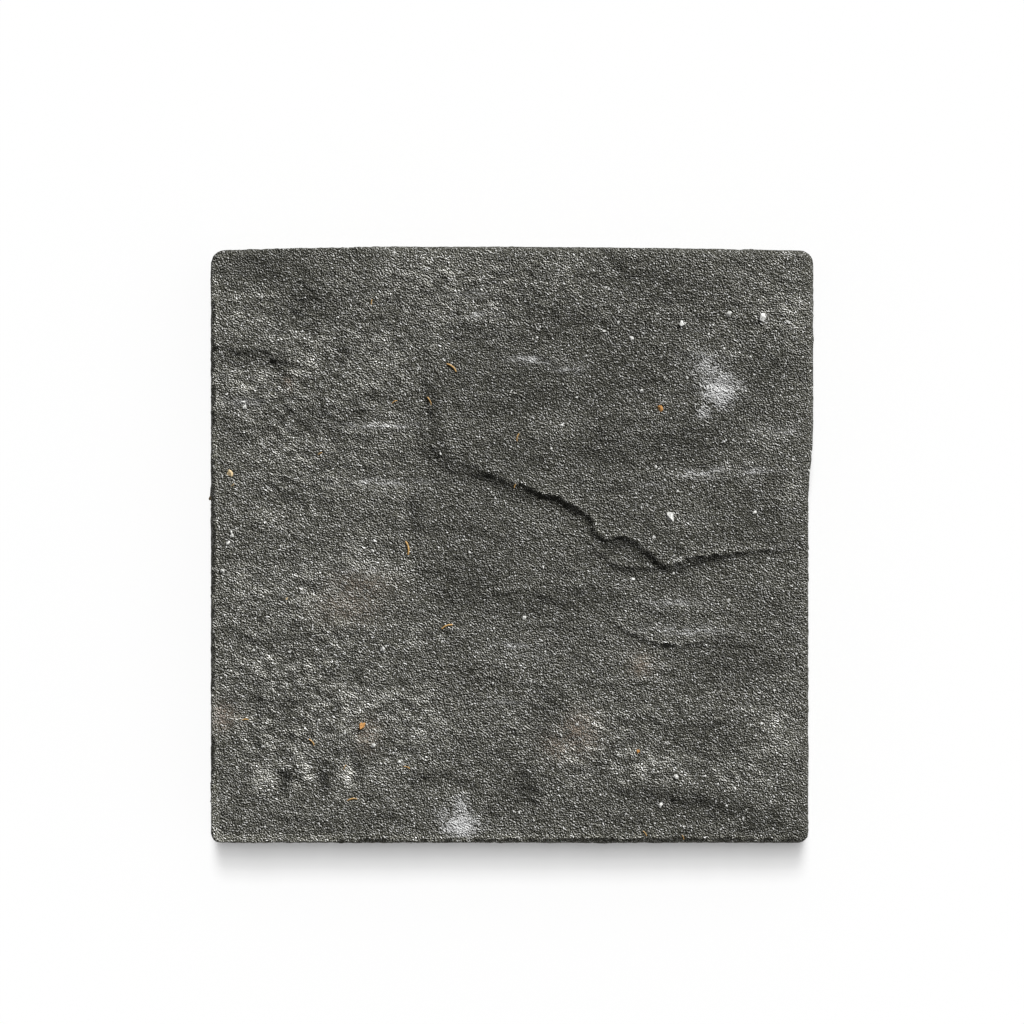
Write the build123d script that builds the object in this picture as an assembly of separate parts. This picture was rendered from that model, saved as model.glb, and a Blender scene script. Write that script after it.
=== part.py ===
"""Square stepping stone: one piece of cast concrete with a riven slate face.

Millimetres, +Z up. The stone lies flat, face up, and the origin is the middle of its base.
+X is the right-hand side of the face and +Y its back side.

The face is built as slate splits: a wavy lower bed, and on it thin cleft layers. Each layer
climbs out of the bed below it and breaks off at a ledge.
"""

from build123d import *

import os
from math import cos, pi, radians, sin, tan

# Overall sizes
LENGTH = 300.0
WIDTH = 297.0
THICKNESS = 38.0  # base to the mean level of the lower bed

# Plan outline: the front and left sides are straight, the other two are uneven
BACK_BOW = 2.0  # how far the back side falls away from its highest place to the corners
BACK_CROWN = -40.0  # where along the back side that highest place is
RIGHT_STEP = 2.4  # how far the front half of the right side stands back
RIGHT_SHOULDER = 58.0  # where along the right side the step begins
RIGHT_FOOT = 20.0  # where it ends
BACK_CORNER_RADIUS = 7.0
FRONT_CORNER_RADIUS = 5.0

# Sides
DRAFT_ANGLE = 1.5  # the stone narrows towards its face, so that it leaves its mould
RIM_ANGLE = 24.0  # pitch of the worn bevel round the face, in degrees from upright
RIM_HEIGHT = 3.0  # how far the bevel runs down the sides below the lower bed
BASE_CHAMFER = 1.2

# Lower bed: waves as (height, length, heading in degrees, phase in degrees)
BED_WAVES = (
    (0.55, 240.0, 68.0, 200.0),
    (0.40, 150.0, 15.0, 40.0),
    (0.30, 92.0, 105.0, 310.0),
    (0.24, 66.0, 80.0, 120.0),
    (0.20, 47.0, 128.0, 20.0),
    (0.17, 36.0, 58.0, 265.0),
    (0.14, 29.0, 97.0, 150.0),
)
BED_PITCH = 8.0  # spacing of the points that carry the bed's surface
BED_MARGIN = 15.0  # how far the bed's surface runs past the sides before it is trimmed

# Cleft layers: ledge lines run anticlockwise round the high side, measured from the middle
LEDGE_SLOPE = 50.0  # lean of a broken ledge, in degrees from upright
LAYER_ROOT = 6.0  # how deep a layer is rooted below the lower bed
HIGHEST_LAYER = 5.0  # room above the lower bed for its layers and waves

# Main layer: its ledge comes down the middle of the face and turns to the right side
MAIN_LEDGE = (
    (-39.5, 112.0),
    (-41.5, 74.0),
    (-39.5, 49.0),
    (-31.5, 41.5),
    (-21.0, 38.5),
    (-10.5, 34.5),
    (1.0, 29.5),
    (15.0, 24.5),
    (29.0, 19.5),
    (38.0, 13.0),
    (41.0, 5.5),
    (46.5, 1.5),
    (55.0, 2.5),
    (62.0, -0.5),
    (68.0, -6.5),
    (73.0, -9.5),
    (79.0, -10.5),
    (85.5, -7.5),
    (93.0, -5.5),
    (105.0, -4.5),
    (120.0, -3.0),
)
MAIN_LEDGE_END = 4.5  # where that ledge meets the right side
MAIN_RISE = 2.3  # height of the ledge at its crest
MAIN_CREST = (79.0, -10.5)
MAIN_REACH = 43.0  # from the crest back to where the layer is level with the bed
MAIN_HEADING = 253.0  # the way that the layer climbs, in degrees

# Flake: a thin leaf that shows below the crest of the main ledge
FLAKE_LEDGE = (
    (33.0, 24.0),
    (38.5, -0.5),
    (46.0, -7.5),
    (53.0, -11.0),
    (61.0, -11.5),
    (68.0, -11.5),
    (73.0, -9.0),
    (76.5, 0.0),
    (78.0, 12.0),
)
FLAKE_RISE = 0.7
FLAKE_CREST = (61.0, -11.5)
FLAKE_REACH = 30.0
FLAKE_HEADING = 262.0

# Scale: a small leaf with a curved ledge, in front of the main one
SCALE_LEDGE = (
    (48.0, -25.0),
    (56.0, -43.5),
    (63.0, -47.0),
    (71.0, -49.5),
    (80.0, -50.5),
    (87.0, -49.5),
    (93.0, -48.0),
    (101.0, -46.5),
    (112.0, -25.0),
)
SCALE_RISE = 1.0
SCALE_CREST = (80.0, -50.5)
SCALE_REACH = 22.0
SCALE_HEADING = 268.0

# Shelf: a low layer at the back left corner, measured from the left side and the middle
SHELF_LEDGE_START = 92.0  # where the shelf's ledge meets the left side
SHELF_LEDGE = (
    (17.0, 96.0),
    (29.0, 93.5),
    (37.0, 90.5),
    (42.0, 82.0),
    (54.0, 98.0),
    (62.0, 130.0),
)
SHELF_RISE = 1.15
SHELF_CREST = (29.0, 93.5)
SHELF_REACH = 30.0
SHELF_HEADING = 258.0

# Chip knocked out of the back edge
CHIP_PLACE = 46.0  # along the back side
CHIP_RADIUS = 5.5
CHIP_INSET = 1.5  # how far the middle of its hollow lies in from the back side
CHIP_LIFT = 3.0  # how far that middle lies above the lower bed

half_length = LENGTH / 2
half_width = WIDTH / 2
rim_foot = THICKNESS - RIM_HEIGHT
block_height = THICKNESS + HIGHEST_LAYER
draft_inset = (rim_foot - BASE_CHAMFER) * tan(radians(DRAFT_ANGLE))
bevel_inset = (block_height - rim_foot) * tan(radians(RIM_ANGLE))


def plan_outline(inset):
    """The stone's outline seen from above, drawn in by inset on every side."""
    left = -half_length + inset
    right = half_length - inset
    front = -half_width + inset
    back = half_width - inset
    front_left = (left, front)
    front_right = (right - RIGHT_STEP, front)
    step_foot = (right - RIGHT_STEP, RIGHT_FOOT)
    shoulder = (right, RIGHT_SHOULDER)
    back_right = (right, back - BACK_BOW)
    crown = (BACK_CROWN, back)
    back_left = (left, back - BACK_BOW)
    towards_back = (0, 1)
    outline = make_face(
        [
            Line(front_left, front_right),
            Line(front_right, step_foot),
            Spline(step_foot, shoulder, tangents=[towards_back, towards_back]),
            Line(shoulder, back_right),
            TangentArc(crown, back_right, tangent=(1, 0)),
            TangentArc(crown, back_left, tangent=(-1, 0)),
            Line(back_left, front_left),
        ]
    )
    outline = round_corners(outline, (front_left, front_right), FRONT_CORNER_RADIUS)
    return round_corners(outline, (back_left, back_right), BACK_CORNER_RADIUS)


def round_corners(outline, places, radius):
    """The outline with the corners at these places rounded."""
    corners = [outline.vertices().sort_by_distance(place)[0] for place in places]
    return fillet(corners, radius)


def cast_block():
    """The block as it leaves the mould, with room for the face that is split out of it.

    Its sides run through a stack of outlines: the chamfered base, the drafted side and the rim.
    """
    stack = (
        (0, BASE_CHAMFER),
        (BASE_CHAMFER, 0),
        (rim_foot, draft_inset),
        (block_height, draft_inset + bevel_inset),
    )
    outlines = [Pos(0, 0, height) * plan_outline(inset) for height, inset in stack]
    return loft(outlines, ruled=True)


def bed_wave(x, y):
    """Height of the lower bed above its mean level."""
    height = 0.0
    for rise, length, heading, phase in BED_WAVES:
        along = x * cos(radians(heading)) + y * sin(radians(heading))
        height += rise * sin(2 * pi * along / length + radians(phase))
    return height


def layer_rise(rise, crest, reach, way):
    """How high a layer stands above the lower bed, as a function of the place."""

    def height(x, y):
        ahead = (Vector(x, y) - Vector(crest)).dot(way)
        return rise * (1 + ahead / reach)

    return height


def above_bed(extra_height):
    """Everything above a bed that lies extra_height(x, y) over the lower one."""
    across = half_length + BED_MARGIN
    deep = half_width + BED_MARGIN
    columns = round(2 * across / BED_PITCH)
    rows = round(2 * deep / BED_PITCH)
    points = []
    for row in range(rows + 1):
        y = -deep + 2 * deep * row / rows
        line = []
        for column in range(columns + 1):
            x = -across + 2 * across * column / columns
            line.append(Vector(x, y, THICKNESS + bed_wave(x, y) + extra_height(x, y)))
        points.append(line)
    surface = Face.make_surface_from_array_of_points(points)
    return Solid.extrude(surface, Vector(0, 0, 2 * block_height))


def cleft_layer(ledge, behind, rise, crest, reach, heading):
    """One leaf of the face: its ledge leans back as it climbs, and its top follows the bed.

    The leaf is closed round the places behind its ledge, where it has sunk into the bed.
    """
    line = Spline(*ledge)
    plan = make_face([line, Polyline(line @ 1, *behind, line @ 0)]).face()
    way = Vector(cos(radians(heading)), sin(radians(heading)))
    climb = Vector(0, 0, 1) - way * tan(radians(LEDGE_SLOPE))
    root = Vector(0, 0, THICKNESS) - climb * LAYER_ROOT
    block = Solid.extrude(Pos(root) * plan, climb * 2 * LAYER_ROOT)
    return block - above_bed(layer_rise(rise, crest, reach, way))


def main_layer():
    """The large leaf on the right of the face, which runs out to the right side."""
    past_right = half_length + BED_MARGIN
    ledge = (*MAIN_LEDGE, (past_right, MAIN_LEDGE_END))
    behind = [(past_right, MAIN_LEDGE[0][1])]
    return cleft_layer(ledge, behind, MAIN_RISE, MAIN_CREST, MAIN_REACH, MAIN_HEADING)


def shelf_layer():
    """The low leaf at the back left corner, which runs out to the left side."""
    past_left = -half_length - BED_MARGIN
    ledge = [(past_left, SHELF_LEDGE_START)]
    ledge += [(x - half_length, y) for x, y in SHELF_LEDGE]
    behind = [(ledge[-1][0], half_width), (past_left, half_width)]
    crest = (SHELF_CREST[0] - half_length, SHELF_CREST[1])
    return cleft_layer(ledge, behind, SHELF_RISE, crest, SHELF_REACH, SHELF_HEADING)


def edge_chip():
    """The hollow where a chip has come off the back edge."""
    middle = Vector(CHIP_PLACE, half_width - CHIP_INSET, THICKNESS + CHIP_LIFT)
    return Pos(middle) * Sphere(CHIP_RADIUS)


def stepping_stone():
    """The cast block, less all that lies above its riven face."""
    layers = [
        main_layer(),
        shelf_layer(),
        cleft_layer(FLAKE_LEDGE, [], FLAKE_RISE, FLAKE_CREST, FLAKE_REACH, FLAKE_HEADING),
        cleft_layer(SCALE_LEDGE, [], SCALE_RISE, SCALE_CREST, SCALE_REACH, SCALE_HEADING),
    ]
    split_off = above_bed(lambda x, y: 0.0)
    for layer in layers:
        split_off -= layer
    return cast_block() - split_off - edge_chip()


os.makedirs("parts", exist_ok=True)
export_step(stepping_stone(), "parts/stepping_stone.step")
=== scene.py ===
import math

import bpy
import numpy as np
from bpy.props import FloatProperty, FloatVectorProperty, IntProperty, PointerProperty
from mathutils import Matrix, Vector, noise
from mathutils.bvhtree import BVHTree


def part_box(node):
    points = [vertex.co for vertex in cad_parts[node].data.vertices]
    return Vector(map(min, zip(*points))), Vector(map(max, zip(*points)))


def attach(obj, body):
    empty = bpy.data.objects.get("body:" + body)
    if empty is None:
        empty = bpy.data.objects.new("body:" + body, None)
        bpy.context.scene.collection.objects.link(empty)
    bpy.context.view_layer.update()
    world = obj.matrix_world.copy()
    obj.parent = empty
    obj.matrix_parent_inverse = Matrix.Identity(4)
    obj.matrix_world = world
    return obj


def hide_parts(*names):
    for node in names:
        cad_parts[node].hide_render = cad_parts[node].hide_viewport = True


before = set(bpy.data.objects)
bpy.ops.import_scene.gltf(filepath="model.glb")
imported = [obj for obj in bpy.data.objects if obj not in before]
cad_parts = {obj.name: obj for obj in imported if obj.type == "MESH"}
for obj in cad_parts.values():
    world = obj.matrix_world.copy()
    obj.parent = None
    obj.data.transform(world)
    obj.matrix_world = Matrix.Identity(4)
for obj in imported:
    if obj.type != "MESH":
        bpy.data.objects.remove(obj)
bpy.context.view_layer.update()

bl_info = {
    "name": "Stepping stone",
    "version": (1, 0, 0),
    "blender": (4, 5, 0),
    "location": "3D View > Sidebar > Stone",
    "description": "Builds a riven concrete stepping stone over its packed solid",
    "category": "Object",
}

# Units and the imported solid
MM = 0.001
NODE = "stepping_stone"
BODY = "root"
stone_low, stone_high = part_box(NODE)

# Marks on the face, in millimetres from its middle: +X right, +Y back
# Patches are x, y, half length, half height, strength
PALE_PATCHES = (
    (-41.5, 130.0, 30.0, 14.0, 0.7),
    (-34.0, 112.0, 14.0, 18.0, 0.5),
    (-128.0, 117.0, 12.0, 10.0, 0.5),
    (-100.0, 90.0, 9.0, 11.0, 0.6),
    (-67.0, 91.0, 14.0, 12.0, 0.8),
    (-128.0, 79.0, 18.0, 10.0, 0.7),
    (-117.5, 45.0, 16.0, 11.0, 0.45),
    (-62.0, 59.0, 18.0, 7.0, 0.5),
    (-120.0, 14.0, 10.0, 14.0, 0.75),
    (-72.0, 29.0, 24.0, 6.0, 0.25),
    (-74.0, -6.0, 14.0, 16.0, 0.6),
    (-97.0, -22.0, 26.0, 14.0, 0.8),
    (-62.0, -14.0, 12.0, 13.0, 0.8),
    (-133.0, -26.0, 14.0, 14.0, 0.7),
    (-130.0, -63.0, 22.0, 12.0, 0.65),
    (-69.0, -80.0, 22.0, 16.0, 0.75),
    (-41.5, -86.0, 20.0, 15.0, 0.7),
    (-102.0, -96.0, 7.0, 26.0, 0.6),
    (-122.5, -115.0, 4.5, 9.0, 1.3),
    (-103.5, -115.0, 4.5, 9.0, 1.2),
    (-83.5, -115.0, 4.5, 9.0, 1.3),
    (-64.0, -112.0, 8.0, 12.0, 0.6),
    (34.5, -96.0, 12.0, 14.0, 0.8),
    (-3.0, -81.0, 12.0, 14.0, 0.4),
    (65.0, -60.0, 9.0, 8.0, 0.6),
    (131.0, -90.0, 11.0, 12.0, 0.9),
    (120.0, -111.0, 14.0, 9.0, 0.7),
    (65.0, -109.0, 16.0, 7.0, 0.8),
    (133.0, 122.0, 17.0, 22.0, 0.5),
    (126.0, 52.0, 14.0, 8.0, 0.7),
    (98.0, 35.0, 20.0, 5.0, 0.6),
    (138.0, 27.0, 6.0, 14.0, 0.6),
    (22.0, 58.0, 10.0, 9.0, 0.5),
    (80.0, 16.0, 8.0, 8.0, 0.3),
    (22.0, 138.0, 18.0, 8.0, 0.4),
    (85.0, 139.0, 30.0, 7.0, 0.5),
    (-130.0, -92.0, 16.0, 10.0, 0.6),
    (-100.0, -60.0, 16.0, 8.0, 0.4),
    (-54.0, -45.0, 14.0, 8.0, 0.35),
    (-44.0, -106.0, 12.0, 8.0, 0.45),
)
DARK_PATCHES = (
    (-120.0, 138.0, 24.0, 9.0, 0.8),
    (-102.0, 122.0, 12.0, 12.0, 0.8),
    (-130.0, 95.0, 18.0, 4.0, 0.6),
    (-95.0, 66.0, 18.0, 7.0, 0.5),
    (-107.0, 26.0, 8.0, 5.0, 0.4),
    (-46.5, 14.0, 7.0, 12.0, 0.6),
    (-20.0, -4.0, 22.0, 22.0, 0.5),
    (-24.0, 86.0, 10.0, 14.0, 0.6),
    (4.0, 74.0, 28.0, 18.0, 0.65),
    (19.0, 109.0, 14.0, 14.0, 0.5),
    (55.0, 78.0, 28.0, 22.0, 0.5),
    (2.0, 42.0, 32.0, 13.0, 0.5),
    (46.0, 50.0, 24.0, 16.0, 0.7),
    (85.0, 52.0, 24.0, 14.0, 0.75),
    (60.0, 28.0, 20.0, 12.0, 0.5),
    (73.0, 132.0, 26.0, 13.0, 0.7),
    (126.0, 84.0, 9.0, 10.0, 0.7),
    (118.0, 10.0, 24.0, 12.0, 0.5),
    (22.0, -27.0, 20.0, 10.0, 0.9),
    (-21.0, -20.0, 20.0, 11.0, 0.7),
    (62.0, -1.0, 20.0, 13.0, 0.6),
    (80.0, -16.0, 14.0, 8.0, 0.4),
    (-21.0, -65.0, 10.0, 10.0, 0.4),
    (19.0, -83.0, 9.0, 8.0, 0.6),
    (111.0, -57.0, 22.0, 10.0, 0.6),
    (103.0, -94.0, 14.0, 9.0, 0.6),
    (4.0, -122.0, 14.0, 11.0, 0.6),
    (62.0, -134.0, 24.0, 14.0, 0.5),
    (92.0, -134.0, 26.0, 10.0, 0.6),
    (124.0, -141.0, 18.0, 8.0, 0.7),
    (-120.0, -76.0, 16.0, 6.0, 0.5),
    (-67.0, -137.0, 14.0, 7.0, 0.5),
)
BLOOMS = (
    (103.0, 76.5, 8.0, 7.5, 1.25),
    (96.5, 86.5, 9.0, 8.0, 0.6),
    (91.0, 94.0, 8.0, 6.0, 0.35),
    (96.0, 66.0, 4.5, 5.5, 0.6),
    (111.0, 77.0, 6.0, 4.0, 0.6),
    (-147.0, -85.0, 3.5, 6.0, 0.7),
    (-25.0, -139.0, 8.5, 6.0, 1.3),
    (-25.0, -130.0, 5.0, 6.0, 0.8),
    (-34.0, -134.0, 5.0, 5.0, 0.5),
)
STAINS = (
    (-146.0, -85.0, 9.0, 6.0, 0.8),
    (33.5, -92.5, 8.0, 9.0, 0.7),
    (22.5, -99.5, 7.0, 6.0, 0.5),
    (64.0, -59.0, 6.0, 5.0, 0.5),
    (-74.0, -19.5, 14.0, 6.0, 0.4),
    (-81.0, -30.5, 16.0, 8.0, 0.35),
    (-71.0, -94.0, 5.0, 7.0, 0.5),
    (-110.5, 79.5, 2.0, 3.5, 0.6),
)
# Streaks where a cleft's edge is rubbed pale
SCUFFS = (
    (77.0, -28.5, 13.0, 1.5, 0.6),
    (84.0, -42.5, 17.0, 2.0, 0.8),
    (94.0, 35.0, 12.0, 2.2, 0.9),
    (120.0, 36.5, 9.0, 1.4, 0.8),
    (69.0, 29.5, 7.0, 1.0, 0.7),
    (130.0, 56.0, 12.0, 2.0, 0.6),
    (-63.5, 59.0, 15.0, 1.2, 1.0),
    (-66.0, 31.0, 20.0, 1.4, 0.6),
    (10.0, 91.0, 10.0, 1.6, 0.8),
    (28.5, 86.5, 8.0, 1.3, 0.7),
    (3.0, -49.5, 10.0, 1.2, 0.7),
    (10.0, -54.5, 10.0, 1.0, 0.5),
    (-5.0, -78.0, 9.0, 1.0, 0.6),
    (-75.0, -13.0, 9.0, 1.5, 0.7),
    (-128.0, 70.0, 14.0, 1.6, 0.5),
    (-22.0, 123.0, 9.0, 1.6, 0.6),
    (-18.0, 113.0, 8.0, 1.6, 0.6),
)
# Where the face is lumpy, as patches over its quiet ground
LUMPY_PATCHES = (
    (-100.0, 75.0, 60.0, 75.0, 1.0),
    (-100.0, -78.0, 65.0, 60.0, 1.0),
    (10.0, 128.0, 80.0, 25.0, 0.9),
    (60.0, -110.0, 90.0, 40.0, 0.8),
    (130.0, 110.0, 30.0, 35.0, 0.7),
)
# Where the ledges are freshly broken: elsewhere they are worn down
FRESH_PATCHES = (
    (20.0, 24.0, 31.0, 14.0, 0.9),
    (41.0, 10.0, 10.0, 9.0, 1.0),
    (50.0, 3.0, 14.0, 8.0, 0.9),
    (70.0, -7.0, 14.0, 8.0, 1.0),
    (84.0, -8.0, 11.0, 7.0, 1.0),
    (104.0, -4.0, 24.0, 8.0, 0.9),
    (78.0, -50.0, 20.0, 6.0, 0.5),
)
# Dimples and swales, as patches whose strength is their depth
DIMPLES = (
    (-127.0, -75.0, 3.5, 6.0, 0.9),
    (-111.0, -78.0, 4.0, 6.0, 0.9),
    (-88.5, -81.0, 4.0, 6.0, 0.9),
    (-127.0, -99.0, 3.2, 6.0, 0.9),
    (-112.0, -99.5, 3.2, 6.0, 0.9),
    (-102.0, -99.0, 2.8, 5.0, 0.6),
    (-112.5, -117.5, 3.4, 6.5, 1.3),
    (-93.0, -117.5, 3.4, 6.5, 1.2),
    (-77.0, -111.0, 3.4, 6.0, 0.9),
    (-105.0, -40.0, 5.0, 3.0, 0.8),
    (-84.5, -45.0, 5.0, 3.0, 0.8),
    (-67.0, -46.0, 4.0, 3.0, 0.6),
    (-102.0, 124.0, 7.0, 4.5, 1.0),
    (-86.0, 92.0, 5.0, 4.5, 0.8),
    (-123.0, 132.0, 10.0, 4.0, 0.8),
    (-49.0, 16.0, 4.0, 8.0, 0.8),
    (86.0, -129.0, 30.0, 6.0, 0.6),
    (128.0, -139.0, 16.0, 5.0, 0.4),
    (6.0, -121.0, 6.0, 9.0, 0.5),
    (-44.0, -116.0, 12.0, 4.0, 0.7),
)
# Small clefts across the face: rise, how far the raised side reaches back, and their line.
# The raised side is on the left of the line.
SMALL_CLEFTS = (
    (0.45, 12.0, ((-146.0, 56.5), (-125.0, 58.5), (-112.0, 58.0), (-103.0, 49.0))),
    (0.35, 9.0, ((-142.0, 72.5), (-128.0, 75.0), (-116.0, 69.0))),
    (0.55, 9.0, ((-122.0, 33.0), (-114.0, 27.0), (-105.0, 23.0))),
    (0.40, 10.0, ((-105.0, 45.0), (-80.0, 38.5), (-64.0, 38.0), (-48.0, 40.0))),
    (0.45, 9.0, ((-70.0, 24.5), (-58.0, 22.0), (-46.0, 19.0))),
    (0.30, 12.0, ((-148.0, -7.0), (-136.0, -5.0), (-122.0, -7.0))),
    (0.40, 10.0, ((-141.0, -39.0), (-128.0, -47.0), (-118.0, -47.5))),
    (0.50, 9.0, ((-110.0, -35.0), (-97.0, -45.0), (-81.0, -55.5))),
    (0.45, 12.0, ((-38.0, -21.5), (-14.0, -25.5), (7.0, -21.5), (20.0, -27.0), (38.0, -34.0))),
    (0.30, 10.0, ((-36.0, -59.5), (-14.0, -63.0), (-2.0, -68.5))),
    (0.30, 8.0, ((0.0, -78.0), (10.0, -80.0), (20.0, -79.5))),
    (0.50, 10.0, ((-46.0, -120.0), (-34.0, -114.5), (-12.0, -122.5))),
    (0.55, 14.0, ((45.0, -118.5), (65.0, -124.5), (88.0, -127.0), (110.0, -130.0))),
    (0.40, 8.0, ((5.0, -107.0), (6.5, -121.0), (17.0, -132.5))),
    (0.30, 10.0, ((-16.0, 8.0), (4.0, 1.0), (24.0, -7.0))),
    (0.30, 10.0, ((-46.0, -11.0), (-30.0, -14.5), (-12.0, -13.5))),
    (0.35, 8.0, ((-114.0, 125.5), (-104.0, 122.0), (-95.0, 122.5))),
    (0.35, 9.0, ((44.0, 108.0), (49.0, 112.5), (57.0, 114.0))),
    (0.35, 10.0, ((60.0, -27.5), (80.0, -31.5), (98.0, -30.5))),
    (0.30, 9.0, ((-25.0, 109.0), (-14.0, 110.0), (-4.0, 121.0))),
    (0.60, 16.0, ((-42.0, 100.0), (-41.5, 76.0), (-40.0, 58.0), (-38.0, 44.0))),
)
# Painted shade along the foot of ledges, in creases and in dimples: strength, half width, and the line
PAINTED_SHADE_LINES = (
    (1.3, 3.2, ((-38.5, 90.0), (-39.0, 74.0), (-38.5, 58.0), (-36.0, 48.0), (-27.0, 40.0), (-14.0, 35.0))),
    (0.8, 3.6, ((-36.0, 44.5), (-26.0, 38.5), (-10.5, 32.5), (1.0, 27.5), (15.0, 22.5), (29.0, 17.0), (38.0, 9.5))),
    (0.8, 3.4, ((36.0, 12.0), (41.5, 3.0), (47.0, -1.5), (55.0, -0.5), (62.0, -3.5), (68.0, -9.0))),
    (0.8, 2.8, ((64.0, -5.5), (74.0, -12.0), (80.0, -12.5), (87.0, -9.5), (95.0, -7.0), (112.0, -5.5))),
    (0.8, 1.6, ((46.0, -9.0), (53.0, -12.5), (61.0, -13.0), (69.0, -12.5))),
    (0.4, 2.4, ((-141.0, 93.0), (-133.0, 96.5), (-121.0, 94.0), (-113.0, 91.5), (-109.0, 85.0))),
    (0.8, 3.5, ((48.0, -117.0), (70.0, -122.5), (95.0, -127.0), (120.0, -134.0), (142.0, -142.0))),
    (0.8, 2.2, ((-50.5, -117.0), (-37.0, -112.5), (-24.0, -116.0), (-14.0, -122.5))),
    (0.8, 2.2, ((5.0, -108.0), (8.0, -118.0), (16.0, -127.0))),
    (1.5, 2.2, ((43.0, 147.0), (48.0, 143.0), (56.0, 136.0))),
    (0.7, 2.0, ((-49.0, 25.0), (-50.0, 15.0), (-48.0, 6.0))),
    (0.7, 2.0, ((-118.0, 30.0), (-112.0, 26.0), (-106.0, 23.5))),
    (1.4, 1.3, ((-135.0, 70.5), (-129.0, 71.5), (-122.0, 70.5))),
    (1.0, 2.8, ((-112.5, -124.0), (-113.0, -117.0), (-113.5, -109.0))),
    (1.0, 2.8, ((-92.5, -124.0), (-93.0, -117.0), (-93.5, -109.0))),
    (0.7, 2.8, ((-76.0, -118.0), (-77.0, -111.0), (-78.0, -104.0))),
)

# White aggregate chips: x, y, width
CHIPS = (
    (78.5, 13.5, 6.0), (124.0, 112.5, 4.8), (107.0, 114.0, 3.2), (59.0, 102.0, 3.0),
    (84.0, 109.5, 3.0), (52.5, 110.0, 2.0), (136.5, 110.0, 2.5), (64.0, 76.0, 2.5),
    (120.0, 16.0, 2.4), (107.0, -27.5, 2.2), (91.5, -33.0, 1.6), (71.0, 38.5, 2.0),
    (70.0, 3.5, 2.2), (73.5, 92.5, 1.6), (86.5, 82.5, 2.0), (36.5, 93.5, 1.6),
    (24.5, 59.0, 2.0), (6.0, -36.0, 2.6), (59.5, -17.0, 2.6), (44.0, -40.0, 1.6),
    (24.0, -94.0, 1.6), (27.0, -99.0, 1.6), (81.0, -114.5, 3.0), (110.0, -120.5, 2.0),
    (101.5, -118.0, 1.6), (73.0, -128.5, 3.4), (96.0, -49.5, 2.0), (-95.5, -86.5, 2.2),
    (-123.0, -99.5, 2.0), (-68.5, -99.0, 2.6), (-109.5, -52.5, 2.0), (-64.0, -51.5, 2.6),
    (-55.5, -107.5, 2.6), (-82.5, -93.0, 1.6), (-143.0, -13.0, 2.2), (-138.0, 5.0, 2.2),
    (-140.0, 1.0, 2.2), (-136.0, 8.0, 1.8), (-132.0, 68.0, 3.0), (-132.5, 70.5, 2.0),
    (-110.5, 77.0, 1.4), (-68.0, 2.0, 2.4), (-69.0, -3.0, 2.0),
)
# Tan grains: x, y, width
TAN_GRAINS = (
    (-139.0, 35.5, 3.6), (-138.0, 29.5, 2.6), (-149.0, 23.0, 2.2), (-111.0, -26.5, 1.8),
)
# Rust-brown grains: x, y, width
RUSTY_GRAINS = (
    (73.0, 67.5, 4.0), (-74.0, -89.0, 4.4), (62.0, -102.0, 2.2),
)
# Straw bits: x, y, length, turn in degrees from +X
STRAWS = (
    (-30.0, 87.5, 6.0, -40.0), (-41.0, 71.0, 4.5, -65.0), (3.0, 53.0, 4.0, 75.0),
    (2.0, 29.5, 3.5, 55.0), (-52.0, -1.5, 6.5, -80.0), (-32.0, -40.5, 5.5, 20.0),
    (-79.0, -126.0, 5.0, 10.0), (-82.5, -110.0, 3.0, 60.0), (-52.0, -110.0, 3.0, -20.0),
    (-99.0, -97.5, 4.0, -50.0), (-131.5, -86.5, 3.5, 0.0), (-69.0, 120.0, 4.0, 80.0),
    (-58.0, 70.5, 3.0, 30.0), (-94.5, 45.0, 3.0, 20.0),
    (65.5, -142.5, 3.0, -55.0), (84.0, -144.0, 3.0, -60.0),
)


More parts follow.
